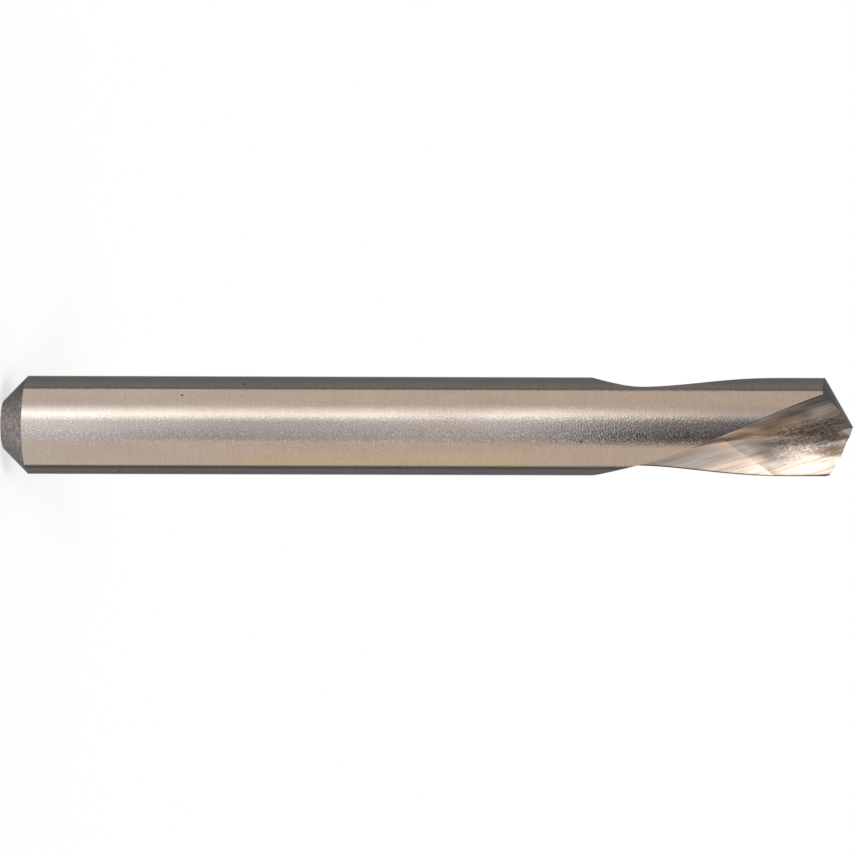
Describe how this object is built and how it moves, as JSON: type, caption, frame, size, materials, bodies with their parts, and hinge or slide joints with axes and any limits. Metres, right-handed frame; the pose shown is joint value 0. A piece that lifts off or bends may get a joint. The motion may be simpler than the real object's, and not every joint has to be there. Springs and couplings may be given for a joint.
{
  "type": "spotting drill",
  "caption": "Short stiff solid drill with a plain round shank, helical flutes and a relieved point, for spotting where a hole will start.",
  "frame": {"origin": "centre of the flat shank end, on the axis", "axes": "+Z along the drill's axis towards the point; the lips run along X, one at each side of the centre"},
  "size_m": [0.012, 0.012, 0.1036],
  "materials": {
    "high_speed_steel": "ground bright, with a warm bronze tint, a fine grain along the shank and grinding lines in the flutes"
  },
  "bodies": {
    "root": {"spotting_drill": "high_speed_steel"}
  },
  "joints": []
}
